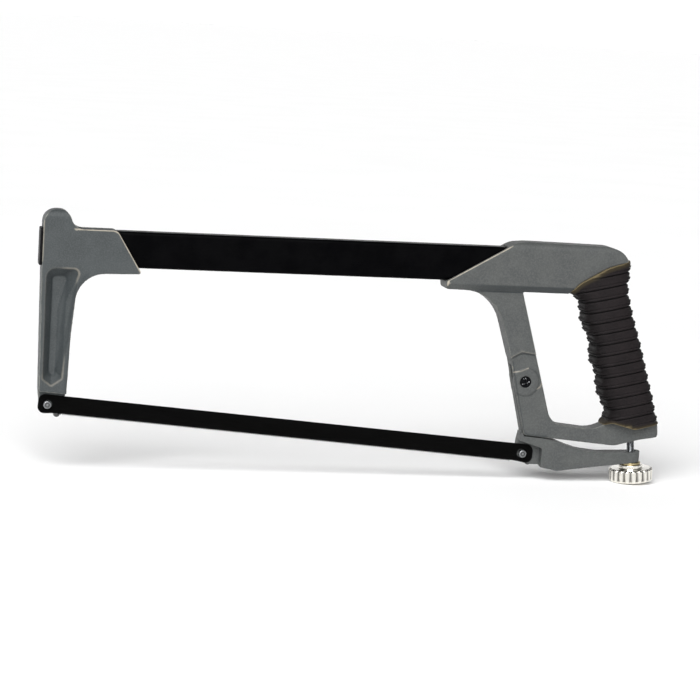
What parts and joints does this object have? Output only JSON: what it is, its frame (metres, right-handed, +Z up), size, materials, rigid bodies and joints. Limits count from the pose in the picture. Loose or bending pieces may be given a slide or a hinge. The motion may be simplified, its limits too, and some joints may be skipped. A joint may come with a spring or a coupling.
{
  "type": "hacksaw",
  "caption": "Hacksaw with a rectangular tube spine, cast front leg, cast handle with ribbed grip, and a screw-tensioned lever that holds the blade.",
  "frame": {"origin": "under the middle of the saw, in its middle plane, level with the lowest point of the knob", "axes": "+X runs along the tube from the front leg to the handle, +Z is up with the blade below the tube, -Y is the side that the blade is fitted from"},
  "size_m": [0.3961, 0.0278, 0.1589],
  "materials": {
    "grey_casting": "satin powder coat over die-cast aluminium",
    "black_paint": "semi-gloss black paint",
    "black_plastic": "moulded",
    "grip_rubber": "ribbed moulded rubber",
    "pin_steel": "ground",
    "spring_steel": "plain",
    "zinc_steel": "bright zinc",
    "black_steel": "black oxide",
    "brass": "turned",
    "nickel": "bright nickel plate",
    "blade_black": "black painted steel"
  },
  "bodies": {
    "frame": {"spine_tube": "black_paint", "tube_end_plug": "black_plastic", "front_leg": "grey_casting", "front_lock_pin": "spring_steel", "front_blade_pin": "pin_steel", "front_flush_pin": "pin_steel", "handle_frame": "grey_casting", "handle_lock_pin": "spring_steel", "grip_sleeve": "grip_rubber", "tension_stud": "zinc_steel", "stud_nut": "zinc_steel", "pivot_screw": "black_steel", "pivot_nut": "zinc_steel"},
    "lever": {"tension_lever": "grey_casting", "lever_bush": "brass", "rear_blade_pin": "pin_steel", "rear_flush_pin": "pin_steel"},
    "carrier": {"thrust_washer": "brass"},
    "knob": {"tension_knob": "nickel", "knob_insert": "brass"},
    "blade": {"hacksaw_blade": "blade_black"}
  },
  "joints": [
    {"name": "knob_travel", "type": "slide", "parent": "frame", "child": "carrier", "axis": [0.0872, 0, -0.9962], "range_m": [0, 0.001]},
    {"name": "knob_turn", "type": "hinge", "parent": "carrier", "child": "knob", "pos_m": [0.1822, 0, 0.01294], "axis": [0.0872, 0, -0.9962], "range_deg": [0, 450]},
    {"name": "lever_swing", "type": "hinge", "parent": "frame", "child": "lever", "pos_m": [0.1074, 0, 0.0631], "axis": [0, 1, 0], "range_deg": [0, 0.8178]},
    {"name": "blade_lift_off", "type": "slide", "parent": "frame", "child": "blade", "axis": [0, -1, 0], "range_m": [0, 0.008]}
  ],
  "couplings": [
    {"joint": "knob_travel", "follows": "knob_turn", "m_per_rad": 0.00012732},
    {"joint": "lever_swing", "follows": "knob_turn", "ratio": 0.0018152}
  ]
}
